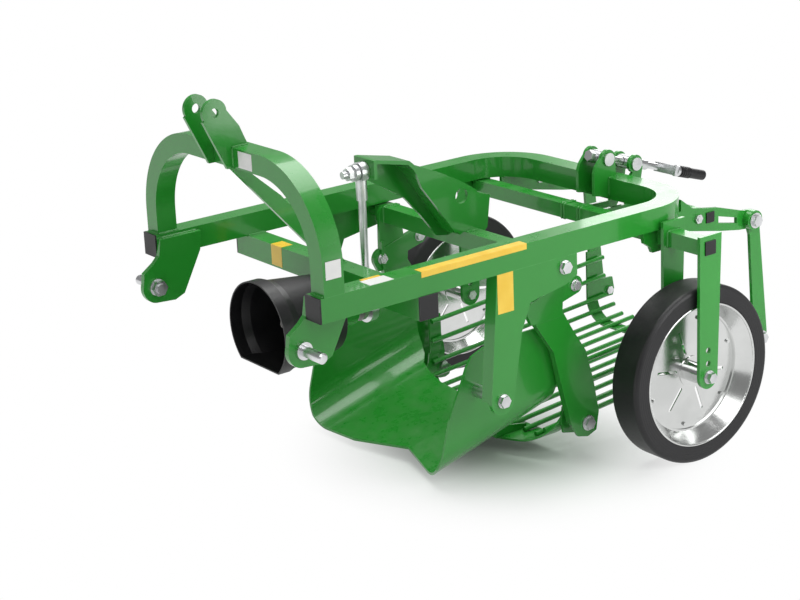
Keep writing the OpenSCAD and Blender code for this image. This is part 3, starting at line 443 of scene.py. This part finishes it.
green_paint, tree, shader = finish("green_paint", Coat_Weight=0.5, Coat_Roughness=0.07,
                                   Specular_IOR_Level=0.4)
ripple = effect(tree, "spray_ripple", Ripple_scale=150.0, Patch_scale=4.0)
dust = effect(tree, "settled_dust", Amount=0.09)
edge = effect(tree, "edge_rub", Amount=0.4)
colour = tint(tree, ripple.outputs["Patches"], GREEN, GREEN_THIN)
colour = tint(tree, edge.outputs["Edge"], colour, GREEN_RUBBED)
colour = tint(tree, dust.outputs["Dust"], colour, DUST)
tree.links.new(colour, shader.inputs["Base Color"])
tree.links.new(ramp(tree, dust.outputs["Dust"], 0.0, 0.25, 0.27, 0.55), shader.inputs["Roughness"])
tree.links.new(bump(tree, ripple.outputs["Height"], 0.0004, 0.35), shader.inputs["Normal"])
print("green paint:", len(tree.nodes), "nodes")

# %% [markdown]
# ### Zinc
# Bolts, pins, the connecting rod and the spindle are zinc plated: pale, slightly cloudy metal. The
# wheel discs carry the same coat on large pressed faces, where it shows broad soft reflections.

# %% Zinc finishes
def zinc(name, light, dark, rough_low, rough_high, cloud_scale):
    """A zinc coat between two tones, rougher where it is darker."""
    material, tree, shader = finish(name, Metallic=1.0)
    mottle = effect(tree, "zinc_mottle", Crystal_scale=420.0, Cloud_scale=cloud_scale)
    edge = effect(tree, "edge_rub", Amount=0.4)
    colour = tint(tree, mottle.outputs["Tone"], dark, light)
    colour = tint(tree, edge.outputs["Edge"], colour, (0.9, 0.9, 0.9))
    tree.links.new(colour, shader.inputs["Base Color"])
    tree.links.new(ramp(tree, mottle.outputs["Tone"], 0.0, 1.0, rough_high, rough_low),
                   shader.inputs["Roughness"])
    tree.links.new(bump(tree, mottle.outputs["Height"], 0.00015, 0.25), shader.inputs["Normal"])
    return material


zinc_plate = zinc("zinc_plate", (0.78, 0.79, 0.80), (0.58, 0.59, 0.60), 0.24, 0.42, 30.0)
zinc_disc = zinc("zinc_disc", (0.70, 0.71, 0.70), (0.60, 0.61, 0.60), 0.12, 0.22, 9.0)
worn_steel = zinc("worn_steel", (0.50, 0.49, 0.47), (0.26, 0.25, 0.24), 0.30, 0.52, 45.0)
print("zinc finishes:", zinc_plate.name, zinc_disc.name, worn_steel.name)

# %% [markdown]
# ### Black plastic and rubber
# The guard, the tube plugs and the crank grip are moulded plastic with a fine grain. The tyres are
# solid rubber with the fine rings that the mould left, and dust on their upper faces.

# %% Plastic and rubber
def dark_polymer(name, base, worn, rough, depth, grain_scale, dusty):
    """A dark moulded skin with grain, dust and paler edges."""
    material, tree, shader = finish(name, Specular_IOR_Level=0.4)
    grain = effect(tree, "spray_ripple", Ripple_scale=grain_scale, Patch_scale=12.0)
    dust = effect(tree, "settled_dust", Amount=dusty)
    edge = effect(tree, "edge_rub", Amount=0.5)
    colour = tint(tree, grain.outputs["Patches"], base, worn)
    colour = tint(tree, edge.outputs["Edge"], colour, (0.12, 0.12, 0.12))
    colour = tint(tree, dust.outputs["Dust"], colour, (0.30, 0.29, 0.27))
    tree.links.new(colour, shader.inputs["Base Color"])
    tree.links.new(ramp(tree, grain.outputs["Patches"], 0.0, 1.0, rough, rough + 0.14),
                   shader.inputs["Roughness"])
    tree.links.new(bump(tree, grain.outputs["Height"], depth, 0.5), shader.inputs["Normal"])
    return material


black_plastic = dark_polymer("black_plastic", (0.006, 0.006, 0.007), (0.012, 0.012, 0.013), 0.34,
                             0.0003, 380.0, 0.04)
block_rubber = dark_polymer("block_rubber", (0.014, 0.014, 0.014), (0.030, 0.029, 0.028), 0.62,
                            0.0004, 260.0, 0.20)
print("dark finishes:", black_plastic.name, block_rubber.name)

# %% [markdown]
# A solid tyre comes out of a turned mould, which leaves fine rings around the axle on its side
# walls. They could be modelled, but at a tenth of a millimetre they are only felt by the light. So
# the distance from the axle drives a sine wave, and the wave drives a shallow bump.

# %% The tyres
TYRE_MIDDLE = stand(0, 0, TYRE_R)
RING_WAVE = 1100.0


def tyre_rubber():
    """Tyre rubber with fine mould rings around the axle."""
    material, tree, shader = finish("tyre_rubber", Specular_IOR_Level=0.4)
    place = add(tree, "ShaderNodeTexCoord")
    split = add(tree, "ShaderNodeSeparateXYZ")
    tree.links.new(place.outputs["Object"], split.inputs[0])
    along = math_node(tree, "SUBTRACT", split.outputs["X"], TYRE_MIDDLE.x)
    above = math_node(tree, "SUBTRACT", split.outputs["Z"], TYRE_MIDDLE.z)
    square = math_node(tree, "ADD", math_node(tree, "MULTIPLY", along, along),
                       math_node(tree, "MULTIPLY", above, above))
    radius = math_node(tree, "SQRT", square, 0.0)
    rings = math_node(tree, "SINE", math_node(tree, "MULTIPLY", radius, RING_WAVE), 0.0)
    grain = effect(tree, "spray_ripple", Ripple_scale=300.0, Patch_scale=10.0)
    dust = effect(tree, "settled_dust", Amount=0.08)
    height = math_node(tree, "ADD", math_node(tree, "MULTIPLY", rings, 0.35),
                       grain.outputs["Height"])
    colour = tint(tree, grain.outputs["Patches"], (0.006, 0.006, 0.007), (0.014, 0.014, 0.015))
    colour = tint(tree, dust.outputs["Dust"], colour, (0.22, 0.21, 0.20))
    tree.links.new(colour, shader.inputs["Base Color"])
    tree.links.new(ramp(tree, grain.outputs["Patches"], 0.0, 1.0, 0.38, 0.56),
                   shader.inputs["Roughness"])
    tree.links.new(bump(tree, height, 0.0004, 0.5), shader.inputs["Normal"])
    return material


tyre = tyre_rubber()
print("tyre finish ready")

# %% [markdown]
# ### Bare label films
# Plain yellow and white films are stuck on the beam, the cross tube and the arch. They stay empty.
# One node holds all the films, so the hue can't come from the name of a piece. It comes from the
# place instead: the films on the arch and the outer half of the front patch are white.

# %% Label film
WHITE_FILM_FROM = stand(853, 0, 590).x
PATCH_FROM = stand(700, 0, 558).x
PATCH_SPLIT_Y = 0.293
FILM_EDGE, SPLIT_EDGE = 0.002, 0.0002
film, tree, shader = finish("label_film", Coat_Weight=0.4, Coat_Roughness=0.12)
place = add(tree, "ShaderNodeTexCoord")
split = add(tree, "ShaderNodeSeparateXYZ")
tree.links.new(place.outputs["Object"], split.inputs[0])
on_arch = ramp(tree, split.outputs["X"], WHITE_FILM_FROM - FILM_EDGE,
               WHITE_FILM_FROM + FILM_EDGE)
past_strip = ramp(tree, split.outputs["X"], PATCH_FROM - FILM_EDGE, PATCH_FROM + FILM_EDGE)
outer_half = ramp(tree, split.outputs["Y"], PATCH_SPLIT_Y - SPLIT_EDGE,
                  PATCH_SPLIT_Y + SPLIT_EDGE)
patch_white = math_node(tree, "MULTIPLY", past_strip, outer_half)
is_white = math_node(tree, "MAXIMUM", on_arch, patch_white)
scuffs = effect(tree, "spray_ripple", Ripple_scale=220.0, Patch_scale=25.0)
yellow = tint(tree, scuffs.outputs["Patches"], (0.80, 0.50, 0.02), (0.86, 0.58, 0.05))
white = tint(tree, scuffs.outputs["Patches"], (0.80, 0.80, 0.78), (0.72, 0.73, 0.72))
tree.links.new(tint(tree, is_white, yellow, white), shader.inputs["Base Color"])
tree.links.new(ramp(tree, scuffs.outputs["Patches"], 0.0, 1.0, 0.28, 0.45),
               shader.inputs["Roughness"])
tree.links.new(bump(tree, scuffs.outputs["Height"], 0.0001, 0.3), shader.inputs["Normal"])
print("label film ready")

# %% [markdown]
# ## Finishes on the CAD nodes
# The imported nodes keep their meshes. Each one gets its finish by name, and a short list names the
# nodes that are not green.

# %% Give every node its finish
FINISH_OF = {
    "hitch_pin_left": zinc_plate, "hitch_pin_right": zinc_plate, "pto_shaft": worn_steel,
    "connecting_rod": zinc_plate, "rod_bolt": zinc_plate, "pivot_bolts": zinc_plate,
    "share_bolts": zinc_plate, "sieve_bolts": zinc_plate, "hanger_bolts": zinc_plate,
    "carrier_bolts": zinc_plate, "wheel_disc_left": zinc_disc, "wheel_disc_right": zinc_disc,
    "wheel_rim_left": zinc_disc, "wheel_rim_right": zinc_disc,
    "axle_bolts": zinc_plate, "front_trunnion": zinc_plate, "rear_trunnion": zinc_plate,
    "depth_spindle": zinc_plate, "frame_plugs": black_plastic, "cross_plugs": black_plastic,
    "pto_guard": black_plastic, "carrier_plugs": black_plastic, "depth_plugs": black_plastic,
    "crank_grip": black_plastic, "sieve_bushes": block_rubber, "tyre_left": tyre,
    "tyre_right": tyre, "label_films": film,
}
for name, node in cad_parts.items():
    chosen = FINISH_OF.get(name, green_paint)
    if not node.material_slots:
        node.data.materials.append(chosen)
    for slot in node.material_slots:
        slot.material = chosen
print("finished nodes:", len(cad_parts))

# %% [markdown]
# ## Bent and bolted sheet
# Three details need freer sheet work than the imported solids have: the bolted pads and the folded
# front edges of the swing levers, and the curved front sheet of the sieve. A plate is cut to an
# outline, so a helper takes the outline and the two faces it lies between. Cut steel has edges
# that are broken by hand, so every edge gets a small bevel, which also catches the light.

# %% Helpers for sheet pieces
SHARP_ANGLE = math.radians(35)
BEVEL_STEPS = 2


def prism(name, body, outline, y_from, y_to, material, soften=0.8):
    """A plate cut to an (x, z) outline in the level frame, with softened edges, on both sides."""
    vertices, faces = [], []
    for side in (1, -1):
        first, count = len(vertices), len(outline)
        for y in (y_from, y_to):
            vertices += [stand(x, side * y, z) for x, z in outline]
        faces.append(tuple(first + i for i in range(count)))
        faces.append(tuple(first + count + i for i in reversed(range(count))))
        for i in range(count):
            j = (i + 1) % count
            faces.append((first + j, first + i, first + count + i, first + count + j))
    return sheet_piece(name, body, vertices, faces, material, soften)


def sheet_piece(name, body, vertices, faces, material, soften):
    """Builds the mesh, turns its faces outwards and softens its edges."""
    mesh = bpy.data.meshes.new(name)
    mesh.from_pydata(vertices, [], faces)
    work = bmesh.new()
    work.from_mesh(mesh)
    bmesh.ops.recalc_face_normals(work, faces=work.faces)
    work.to_mesh(mesh)
    work.free()
    mesh.materials.append(material)
    piece = bpy.data.objects.new(name, mesh)
    scene.collection.objects.link(piece)
    bevel = piece.modifiers.new("softened edges", "BEVEL")
    bevel.width = soften * MM
    bevel.segments = BEVEL_STEPS
    bevel.limit_method = "ANGLE"
    bevel.angle_limit = SHARP_ANGLE
    bevel.harden_normals = True
    mesh.shade_smooth()
    mesh.set_sharp_from_angle(angle=SHARP_ANGLE)
    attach(piece, body)
    print(name, "has", len(faces), "faces")
    return piece


def round_points(x, z, radius, count, start=0.0, turn=360.0):
    """Points on a circle or an arc in the (x, z) plane, angles in degrees."""
    steps = [math.radians(start + turn * i / count) for i in range(count + (abs(turn) < 360))]
    return [(x + radius * math.cos(a), z + radius * math.sin(a)) for a in steps]


print("sheet helpers ready")

# %% [markdown]
# Each swing lever carries a pad on its inner side that ties it to the rocker shaft, and two bolts
# go through it. The front bolt has only its nut on the inner side, since its head is sunk in the
# lever.

# %% Bolted pads of the swing levers
LEVER_IN, LEVER_OUT = 262, 270
PAD_BOLTS = ((326, 381), (215, 414))
PAD_R, PAD_FRONT_R = 21, 24
pad = round_points(*PAD_BOLTS[1], PAD_R, 12, 92, 150)
pad += [(250, 384), (252, 352), (338, 352)]
pad += round_points(*PAD_BOLTS[0], PAD_FRONT_R, 8, 330, 115)
prism("lever_pads", "rocker", pad, LEVER_IN - 2, LEVER_OUT + 2, green_paint)
INNER_STACK = (("inner_washer", 257.8, 260, 13, 32), ("nut", 251, 257.8, 11, 6))
OUTER_STACK = (("washer", 272, 274.2, 13, 32), ("head", 274.2, 281, 11, 6))
for spot, (x, z), stack in (("front", PAD_BOLTS[0], INNER_STACK),
                            ("rear", PAD_BOLTS[1], INNER_STACK + OUTER_STACK)):
    for title, y0, y1, radius, count in stack:
        outline = round_points(x, z, radius, count, 12.0)
        prism(f"pad_{title}_{spot}", "rocker", outline, y0, y1, zinc_plate, 0.7)

# %% [markdown]
# The front edge of a lever is folded inwards, which stiffens it against the shaking and shows as a
# bright rounded line. The fold is a narrow strip along that edge, with a rounder bevel than a cut.

# %% Folded front edge of the swing levers
FOLD_LINE = [(330, 425), (331, 377), (326, 349), (303, 315), (277, 277), (260, 209), (246, 157),
             (230, 98)]
FOLD_WIDE, FOLD_DROP = 7, 1
fold = FOLD_LINE + [(x - FOLD_WIDE, z - FOLD_DROP) for x, z in reversed(FOLD_LINE)]
prism("lever_folds", "rocker", fold, LEVER_IN - 9, LEVER_IN + 1, green_paint, 1.6)

# %% [markdown]
# The front sheet of the sieve is one plate bent into a trough. Its floor reaches forward under the
# share and its sides draw back to the levers, so its front edge is a curve over the bend. The
# plate is built as it is made: a section across the machine is followed from side to side, and for
# each point of it the sheet runs from a rear edge to the curve.

# %% Edges and section of the front sheet
SHEET_HALF, SHEET_R, SHEET_T = 234.0, 62.0, 5.0
SHEET_BOTTOM, SHEET_TOP, SHEET_REAR = 47.0, 221.0, 184.0
CORNER_STEPS = 16
FRONT_EDGE = [(-60, 323), (-42, 319), (-12, 304), (12, 289), (36, 272), (60, 252), (80, 234),
              (97, 222), (112, 218), (240, 218)]


def edge_at(travel):
    """Forward reach of the sheet, by the distance along its section from the bend's start."""
    for (s0, x0), (s1, x1) in zip(FRONT_EDGE, FRONT_EDGE[1:]):
        if travel <= s1:
            t = max(0.0, (travel - s0) / (s1 - s0))
            return x0 + (x1 - x0) * t
    return FRONT_EDGE[-1][1]


def half_section():
    """Section from the middle of the floor up the side: (travel, y, z, inward y, inward z)."""
    flat = SHEET_HALF - SHEET_R
    rows = [(y - flat, y, SHEET_BOTTOM, 0.0, 1.0) for y in (0, 40, 80, 112, 125, 138, 150, 162)]
    for i in range(CORNER_STEPS + 1):
        a = math.pi / 2 * i / CORNER_STEPS
        rows.append((SHEET_R * a, flat + SHEET_R * math.sin(a),
                     SHEET_BOTTOM + SHEET_R * (1 - math.cos(a)), -math.sin(a), math.cos(a)))
    corner = SHEET_R * math.pi / 2
    start = SHEET_BOTTOM + SHEET_R
    for z in (120, 135, 150, 170, 195, SHEET_TOP):
        rows.append((corner + z - start, SHEET_HALF, z, -1.0, 0.0))
    return rows


REAR_FOOT, FOOT_Z, LEAN_END_Z = 218, 40, 150


def rear_at(z):
    """Rear edge of the sheet, which leans back as it rises."""
    lean = (REAR_FOOT - SHEET_REAR) / (LEAN_END_Z - FOOT_Z)
    return REAR_FOOT - (z - FOOT_Z) * lean if z < LEAN_END_Z else SHEET_REAR


side_rows = half_section()
section = [(t, -y, z, -ny, nz) for t, y, z, ny, nz in reversed(side_rows)] + side_rows[1:]
print("the sheet's section has", len(section), "points")

# %% Mesh of the front sheet
STEPS = 6
vertices, faces = [], []
for thickness in (0.0, SHEET_T):
    for travel, y, z, ny, nz in section:
        rear, front = rear_at(z), edge_at(travel)
        for i in range(STEPS + 1):
            x = rear + (front - rear) * i / STEPS
            vertices.append(stand(x, y + ny * thickness, z + nz * thickness))
layer, row = len(section) * (STEPS + 1), STEPS + 1
for r in range(len(section) - 1):
    for i in range(STEPS):
        a = r * row + i
        faces.append((a, a + 1, a + 1 + row, a + row))
        faces.append((layer + a, layer + a + row, layer + a + 1 + row, layer + a + 1))
    for i in (0, STEPS):
        a = r * row + i
        faces.append((a, a + row, layer + a + row, layer + a))
for r in (0, len(section) - 1):
    for i in range(STEPS):
        a = r * row + i
        faces.append((a, a + 1, layer + a + 1, layer + a))
sheet = sheet_piece("sieve_front_sheet", "sieve", vertices, faces, green_paint, 1.0)
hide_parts("sieve_band")

# %% [markdown]
# Small plates finish the sheet: a lip that is turned up under the share, two webs behind it, and
# on each side an ear with a boss, where the lever's lower bolt takes hold.

# %% Lip, webs, ears and bosses of the front sheet
LEVER_BOLT, BOSS_R = (182, 90), 13
FLOOR_TOP = SHEET_BOTTOM + SHEET_T
lip = [(322, SHEET_BOTTOM), (340, 61), (355, 82), (352, 86), (336, 66), (321, FLOOR_TOP)]
prism("sieve_lip", "sieve", lip, 0, 128, green_paint)
web = [(236, FLOOR_TOP - 1), (320, FLOOR_TOP - 1), (343, 74), (300, 74), (236, 62)]
prism("sieve_webs", "sieve", web, 125, 130, green_paint)
ear = [(218, 127), (212, 109), (180, 98), (159, 84), (158, 72), (164, 61), (176, 57), (190, 58),
       (222, 66), (227, 90), (222, 127)]
prism("sieve_ears", "sieve", ear, 229.4, 234.4, green_paint)
boss = round_points(*LEVER_BOLT, BOSS_R, 32)
prism("sieve_bosses", "sieve", boss, 230, 261.4, green_paint, 1.2)

# %% [markdown]
# ## Weld beads
# The tubes and plates are joined by hand-laid welds, which read as small rippled ridges where two
# faces meet. A bead follows a short path in the level frame. Its radius swells and shrinks every
# few millimetres, as the pools of a weld do, and one mesh holds all the beads of a body.

# %% A rippled bead along a path
BEAD_R = 3.2
BEAD_STEP = 1.6
BEAD_POOL = 4.2
RING = 8


def bead_points(path):
    """Points every BEAD_STEP along a path of level-frame points, with the distance of each."""
    placed, walked = [], 0.0
    for start, end in zip(path, path[1:]):
        a, b = Vector(start), Vector(end)
        steps = max(2, int((b - a).length / BEAD_STEP))
        for i in range(steps + (end == path[-1])):
            t = i / steps
            placed.append((a.lerp(b, t), walked + t * (b - a).length))
        walked += (b - a).length
    return placed


def add_bead(vertices, faces, path, seed):
    """Adds one bead to the vertex and face lists, half sunk in the corner that it fills."""
    rng = random.Random(seed)
    points = bead_points(path)
    first = len(vertices)
    for index, (point, walked) in enumerate(points):
        ahead = points[min(index + 1, len(points) - 1)][0] - points[max(index - 1, 0)][0]
        ahead.normalize()
        side = ahead.orthogonal().normalized()
        over = ahead.cross(side)
        pool = 0.82 + 0.18 * abs(math.sin(math.pi * walked / BEAD_POOL))
        end_taper = 0.35 if index in (0, len(points) - 1) else 1.0
        radius = BEAD_R * pool * end_taper * rng.uniform(0.94, 1.06)
        for k in range(RING):
            angle = 2 * math.pi * k / RING
            out = side * math.cos(angle) + over * math.sin(angle)
            vertices.append(stand(*(point + out * radius)))
    for index in range(len(points) - 1):
        for k in range(RING):
            a = first + index * RING + k
            b = first + index * RING + (k + 1) % RING
            faces.append((a, b, b + RING, a + RING))
    faces.append(tuple(first + k for k in reversed(range(RING))))
    last = first + (len(points) - 1) * RING
    faces.append(tuple(last + k for k in range(RING)))


def beads(name, body, paths):
    """One smooth mesh of weld beads that rides on a body."""
    vertices, faces = [], []
    for seed, path in enumerate(paths):
        add_bead(vertices, faces, path, seed)
    mesh = bpy.data.meshes.new(name)
    mesh.from_pydata(vertices, [], faces)
    mesh.shade_smooth()
    mesh.materials.append(green_paint)
    piece = bpy.data.objects.new(name, mesh)
    scene.collection.objects.link(piece)
    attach(piece, body)
    print(name, "has", len(paths), "beads")
    return piece


def both_sides(paths):
    """The same paths on the machine's left and right."""
    return paths + [[(x, -y, z) for x, y, z in path] for path in paths]


print("bead helpers ready")

# %% [markdown]
# The places come from the tubes they join: the arch on the beams, the beams on the cross tube, the
# plates under the beams, and the ears of the depth crank on the rear member.

# %% Beads of the frame
BEAM_TOP, BEAM_BOTTOM = 558, 508
BEAM_IN, BEAM_OUT = 281, 329
ARCH_IN = 287
ARCH_REAR, ARCH_FRONT, ARCH_TOP, ARCH_UNDER = 855, 903, 804, 762
EAR_OUT, EAR_IN = 38, 30
BRACE_OUT, BRACE_IN = 38, 28
CROSS_REAR, CROSS_FRONT = 632, 678
REAR_IN = -75
CRANK_PLATES = (15, 23, 67, 75)

frame_paths = both_sides([
    [(ARCH_REAR, BEAM_OUT - 3, BEAM_TOP), (ARCH_REAR, ARCH_IN, BEAM_TOP),
     (ARCH_FRONT, ARCH_IN, BEAM_TOP), (ARCH_FRONT, BEAM_OUT - 3, BEAM_TOP)],
    [(CROSS_FRONT, BEAM_IN, BEAM_BOTTOM), (CROSS_FRONT, BEAM_OUT - 4, BEAM_BOTTOM)],
    [(CROSS_REAR, BEAM_IN, BEAM_BOTTOM), (CROSS_REAR, BEAM_OUT - 4, BEAM_BOTTOM)],
    [(CROSS_REAR, BEAM_IN, BEAM_BOTTOM), (CROSS_FRONT, BEAM_IN, BEAM_BOTTOM)],
    [(268, 319, BEAM_BOTTOM), (468, 319, BEAM_BOTTOM)],
    [(812, BEAM_IN, 550), (900, BEAM_IN, 550)],
    [(-40, 312, BEAM_BOTTOM), (52, 312, BEAM_BOTTOM)],
    [(-104, 254.4, BEAM_BOTTOM), (-44, 254.4, BEAM_BOTTOM)],
    [(ARCH_REAR + 12, EAR_OUT, ARCH_TOP), (ARCH_FRONT, EAR_OUT, ARCH_TOP),
     (ARCH_FRONT, EAR_OUT, ARCH_UNDER + 2)],
    [(ARCH_REAR + 12, EAR_IN, ARCH_TOP), (ARCH_FRONT - 2, EAR_IN, ARCH_TOP)],
])
BRACE_FOOT, BRACE_HEAD = 640, 884
for start, end, height in ((BRACE_FOOT, CROSS_FRONT - 2, BEAM_BOTTOM),
                           (BRACE_HEAD, ARCH_FRONT + 4, ARCH_UNDER)):
    frame_paths += [[(start, y, height), (end, y, height)] for y in (BRACE_OUT, BRACE_IN)]
frame_paths += [[(-95, y, BEAM_TOP), (REAR_IN, y, BEAM_TOP), (REAR_IN, y, 516)]
                for y in CRANK_PLATES]
beads("weld_beads_frame", "machine", frame_paths)

# %% [markdown]
# A square tube that passes through a plate is welded all round it. The rocker shaft does so at
# both levers, and the depth shaft at both fork legs of each side and at the plates of its crank.

# %% Beads of the rocker and the depth shaft
ROCK_X, ROCK_Z, ROCK_HALF = 296, 485, 19
DEPTH_X, DEPTH_Z, DEPTH_HALF = -2, 488, 17


def square_path(x, y, z, half):
    """A closed square in the plane of a plate at y."""
    corners = [(-half, -half), (half, -half), (half, half), (-half, half), (-half, -half)]
    return [(x + a, y, z + b) for a, b in corners]


rocker_paths = both_sides([square_path(ROCK_X, 262, ROCK_Z, ROCK_HALF)])
rocker_paths += [[(ROCK_X - 16, y, ROCK_Z + ROCK_HALF), (ROCK_X + 18, y, ROCK_Z + ROCK_HALF)]
                 for y in (35, 27, -27, -35)]
beads("weld_beads_rocker", "rocker", rocker_paths)
depth_paths = both_sides([square_path(DEPTH_X, 442, DEPTH_Z, DEPTH_HALF),
                          square_path(DEPTH_X, 345, DEPTH_Z, DEPTH_HALF)])
depth_paths += [square_path(DEPTH_X, y, DEPTH_Z, DEPTH_HALF) for y in CRANK_PLATES]
beads("weld_beads_depth", "depth", depth_paths)
